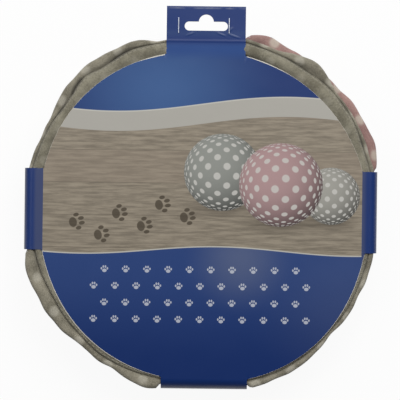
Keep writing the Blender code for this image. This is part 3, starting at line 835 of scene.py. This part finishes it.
def disc_reach(left, quarter):
    """How far out a strap's edge leaves the disc."""
    out = DISC_RADIUS
    for _ in range(20):
        angle = math.atan2(*reversed(turned(out, left, quarter)))
        out = math.sqrt(max(disc_edge(angle) ** 2 - left**2, 0.0))
    return out


outline = []
for quarter in range(4):
    right, left = strap_edges(quarter)
    reach = STRAP_REACH[quarter]
    stub = [(reach, side) for side in np.linspace(right, left, STUB_STEPS)]
    stub = [(disc_reach(right, quarter), right), *stub, (disc_reach(left, quarter), left)]
    outline.append([turned(out, side, quarter) for out, side in stub])
card_edge = []
die_cut = []
for quarter in range(4):
    card_edge += outline[quarter]
    die_cut += [False] * len(outline[quarter])
    start, end = outline[quarter][-1], outline[(quarter + 1) % 4][0]
    first, last = (math.atan2(y, x) for x, y in (start, end))
    arc = np.linspace(first, first + (last - first) % TURN, ARC_STEPS)[1:-1]
    card_edge += list(zip(disc_edge(arc) * np.cos(arc), disc_edge(arc) * np.sin(arc)))
    die_cut += [True] * len(arc)
card_edge = np.array([*card_edge, card_edge[0]])
die_cut = np.array([*die_cut, die_cut[0]])


def card_shape(along, across):
    """Rings of the card from its edge to its middle, the first two close together."""
    column = np.round(along * (len(card_edge) - 1)).astype(int)
    edge = card_edge[column].T[:, None]
    from_middle = edge - np.array(DISC_MIDDLE)[:, None, None]
    span = np.linalg.norm(from_middle, axis=0)
    inward = np.where(across > 0, (across - 1 / CARD_RINGS) / (1 - 1 / CARD_RINGS), 0)
    bare = PRESSED + waves(np.arctan2(edge[1], edge[0]), PAPER_EDGES)
    share = 1 - inward - np.where(across > 0, bare / span, 0) * (1 - inward)
    x, y = np.array(DISC_MIDDLE)[:, None, None] + from_middle * share
    drop = np.where((across == 0) & die_cut[column], 0.3 * bare, 0.0)
    return (x, y, CARD_Z - drop), (x, y)


def carded(piece):
    """The board's thickness, with its plain back and pale cut edges."""
    for material in (printed, plain_board, board_core):
        piece.data.materials.append(material)
    wall = piece.modifiers.new("board", "SOLIDIFY")
    wall.thickness = BOARD
    wall.offset = -1.0
    wall.material_offset = 1
    wall.material_offset_rim = 2
    bpy.ops.object.modifier_apply(modifier=wall.name)
    piece.data.shade_smooth()
    piece.data.set_sharp_from_angle(angle=math.radians(12))


front_print = placed_grid("front_card_print", len(card_edge) - 1, CARD_RINGS, card_shape)
pressed_edge = [0] * len(front_print.data.polygons)
for column in range(len(card_edge) - 1):
    if die_cut[column] and die_cut[column + 1]:
        pressed_edge[column] = 2
front_print.data.polygons.foreach_set("material_index", pressed_edge)
carded(front_print)
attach(front_print, "front_card")
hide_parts("front_card")

# Arms: each runs off the disc, round a soft bend and down the side of the pack to its glued foot.
# The crease is the lower part of the bend, from this angle down; its two ends are worked out below, but
# nothing uses them.

ARM_COLUMNS = 24
BEND_STEPS = 14
CREASE = math.radians(40)
ARM_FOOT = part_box("right_arm")[0].z
GLUED_TOP = 0.019


def strip(name, profile, quarter):
    """A strap of board along a profile of (distance out, height, distance out when laid flat)."""
    right, left = strap_edges(quarter)
    out, height, flat_out = (np.array(column)[:, None] for column in zip(*profile))

    def shape(along, across):
        side = right + (left - right) * along
        row = np.round(across[:, 0] * (len(profile) - 1)).astype(int)
        x, y = turned(out[row] + 0 * side, side + 0 * out[row], quarter)
        u, v = turned(flat_out[row] + 0 * side, side + 0 * out[row], quarter)
        return (x, y, height[row] + 0 * side), (u, v)

    piece = placed_grid(name, ARM_COLUMNS, len(profile) - 1, shape)
    if sum(face.normal.z for face in piece.data.polygons) < 0:
        piece.data.flip_normals()
    return piece


def arm_profile(bow):
    """Round the bend and down to the foot, with the free part above the glue bowed out a little."""
    profile = []
    for a in np.linspace(0, math.pi / 2, BEND_STEPS + 1):
        height = CARD_Z - BEND + BEND * math.cos(a)
        profile.append((ARM_FACE - BEND + BEND * math.sin(a), height, ARM_FACE - BEND + BEND * a))
    for height in np.linspace(CARD_Z - BEND, ARM_FOOT, 17)[1:]:
        profile.append((ARM_FACE, height, profile[BEND_STEPS][2] + CARD_Z - BEND - height))
    for i, (out, height, flat_out) in enumerate(profile):
        share = min(max((height - GLUED_TOP) / (CARD_Z - GLUED_TOP), 0), 1)
        bowed = math.sin(math.pi * share) ** 1.5
        profile[i] = (out + bow * bowed, height, flat_out)
    return profile


for quarter, bow in ((0, 0.0002), (2, 0.0006), (3, 0.0022)):
    name = STRAP_NODES[quarter]
    arm = strip(f"{name}_print", arm_profile(bow), quarter)
    carded(arm)
    crease_out = ARM_FACE - BEND + BEND * math.sin(CREASE)
    crease_z = CARD_Z - BEND + BEND * math.cos(CREASE)
    start = (*turned(crease_out, 0, quarter), crease_z)
    end = (*turned(ARM_FACE, 0, quarter), CARD_Z - BEND)
    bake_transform(arm)
    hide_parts(name)

# Hang tab: the board turns over at the top and comes down behind itself as a second ply, and both
# are cut through for the hanger slot and closed by two staples.

TAB_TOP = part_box("hang_tab")[1].y
TAB_CREASED = 0.1331
BACK_PLY_FOOT = 0.13275
FOLD_BEND = 0.00055
SLOT_MIDDLE = (0.0024, 0.1388)
SLOT_SIZE = (0.0325, 0.0069)
BUMP_RADIUS = 0.00565
BUMP_Y = 0.1419

front_rows = (
    *np.linspace(TAB_ROOT, TAB_CREASED, 7),
    *np.linspace(TAB_CREASED + 0.0009, TAB_TOP - 0.0007, 20),
)
tab_profile = [(y, CARD_Z, y) for y in front_rows]
turn_out = TAB_TOP - FOLD_BEND
for a in np.linspace(0, math.pi, 9)[1:]:
    out = turn_out + FOLD_BEND * math.sin(a)
    height = CARD_Z - FOLD_BEND + FOLD_BEND * math.cos(a)
    tab_profile.append((out, height, TAB_TOP + 0.0005 * a))
for y in np.linspace(TAB_TOP - 0.0012, BACK_PLY_FOOT, 10):
    tab_profile.append((y, CARD_Z - 2 * FOLD_BEND, 2 * TAB_TOP - y))
tab = strip("hang_tab_print", tab_profile, 1)


def round_ended(name, middle, size):
    """A round-ended prism: a cylinder whose two halves are moved apart."""
    bpy.ops.object.select_all(action="DESELECT")
    bpy.ops.mesh.primitive_cylinder_add(vertices=64, radius=size[1] / 2, depth=0.01, location=(0, 0, 0))
    cutter = bpy.context.object
    cutter.name = name
    for vertex in cutter.data.vertices:
        vertex.co.x += math.copysign((size[0] - size[1]) / 2, vertex.co.x)
        vertex.co += Vector((*middle, CARD_Z))
    return cutter


carded(tab)
for name, middle, size in (
    ("slot_cutter", SLOT_MIDDLE, SLOT_SIZE),
    ("bump_cutter", (SLOT_MIDDLE[0], BUMP_Y), (2 * BUMP_RADIUS, 2 * BUMP_RADIUS)),
):
    cutter = round_ended(name, middle, size)
    opening = tab.modifiers.new(name, "BOOLEAN")
    opening.object = cutter
    opening.solver = "EXACT"
    bpy.ops.object.select_all(action="DESELECT")
    bpy.context.view_layer.objects.active = tab
    bpy.ops.object.modifier_apply(modifier=name)
    bpy.data.objects.remove(cutter, do_unlink=True)
for face in tab.data.polygons:
    if abs(face.normal.z) < 0.5 and BACK_PLY_FOOT + 0.001 < face.center.y < TAB_TOP - 0.002:
        face.material_index = 2
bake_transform(tab)
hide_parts("hang_tab")
for node in ("staple_left", "staple_right"):
    repaint(node, bright_staple)

# Back card: a plain cross of the same board behind the pack. Its lugs turn up inside the arms, where
# spots of glue hold them.

back_board, back_shader, back_place, _ = finish("back_board", 0.6)
height = back_place.node("SeparateXYZ", out=2, Vector=back_place)
fibres = back_place.noise(0.0012, 4.0, 0.7)
pulp = fibres.mix(screen(168, 162, 150), screen(190, 185, 174))
ink = back_place.noise(0.05).mix(screen(24, 46, 104), screen(32, 58, 122))
feed(back_shader, "Base Color", height.step(0.00012, 0.00008).mix(pulp, ink))
feed(back_shader, "Normal", bumped(fibres, 0.00004))
repaint("back_card", back_board)
glue, glue_shader, glue_place, _ = finish("glue", 0.35)
amber = glue_place.noise(0.003).mix(screen(226, 214, 172), screen(206, 190, 140))
feed(glue_shader, "Base Color", amber)
for node in ("left_arm_glue", "right_arm_glue", "bottom_arm_glue", "tongue_glue"):
    repaint(node, glue)

# Floor, lights and camera: a white table in soft light, seen from straight above.
# The photograph's frame is 400 pixels wide and covers 300.8 mm at the card's face.

PIXEL = 0.000752
FRAME_PIXELS = 400
PACK_MIDDLE_PIXEL = (200.85, 210.65)
CAMERA_HEIGHT = 1.3
ROLL = math.radians(0.7)

bpy.ops.object.select_all(action="DESELECT")
bpy.ops.mesh.primitive_plane_add(size=16, location=(0, 0, -0.0002))
floor = bpy.context.object
floor.name = "floor"
white, white_shader, white_place, _ = finish("white_floor", 0.9)
white_shader.inputs["Base Color"].default_value = (0.9, 0.9, 0.9, 1)
rays = white_place.node("LightPath", out=0)
glossy = white_place.node("LightPath", out=3)
passing = white_place.node("LightPath", out=6)
seen = rays.sum("MAXIMUM", glossy).sum("MAXIMUM", passing)
glow = white_place.node("Emission", Color=(1, 1, 1, 1), Strength=1.0)
output = white.node_tree.nodes["Material Output"]
surface = Field(white.node_tree, white_shader.outputs[0])
paper_white = seen.node("MixShader", s0=seen * 0.93, s1=surface, s2=glow)
white.node_tree.links.new(output.inputs["Surface"], paper_white.socket)
floor.data.materials.append(white)

world = bpy.data.worlds.new("studio")
world.use_nodes = True
world.node_tree.nodes["Background"].inputs["Color"].default_value = (1, 1, 1, 1)
world.node_tree.nodes["Background"].inputs["Strength"].default_value = 0.15
bpy.context.scene.world = world


def softbox(name, place, size, power):
    """A square lamp that looks at the middle of the card."""
    bpy.ops.object.light_add(type="AREA", location=place)
    lamp = bpy.context.object
    lamp.name = name
    lamp.data.size = size
    lamp.data.energy = power
    aim = Vector((0, 0, CARD_Z)) - Vector(place)
    lamp.rotation_euler = aim.to_track_quat("-Z", "Y").to_euler()


softbox("key_light", (0.40, 0.90, 1.25), 1.0, 17)
softbox("fill_light", (-0.70, 0.60, 1.15), 1.2, 7)

middle_x, middle_y = (FRAME_PIXELS / 2 - p for p in PACK_MIDDLE_PIXEL)
aim = Matrix.Rotation(ROLL, 2) @ Vector((middle_x * PIXEL, -middle_y * PIXEL))
bpy.ops.object.camera_add(location=(aim.x, aim.y, CARD_Z + CAMERA_HEIGHT), rotation=(0, 0, ROLL))
camera = bpy.context.object
camera.data.lens = camera.data.sensor_width * CAMERA_HEIGHT / (FRAME_PIXELS * PIXEL)
camera.data.clip_end = 20
scene = bpy.context.scene
scene.camera = camera
scene.view_settings.view_transform = "Standard"
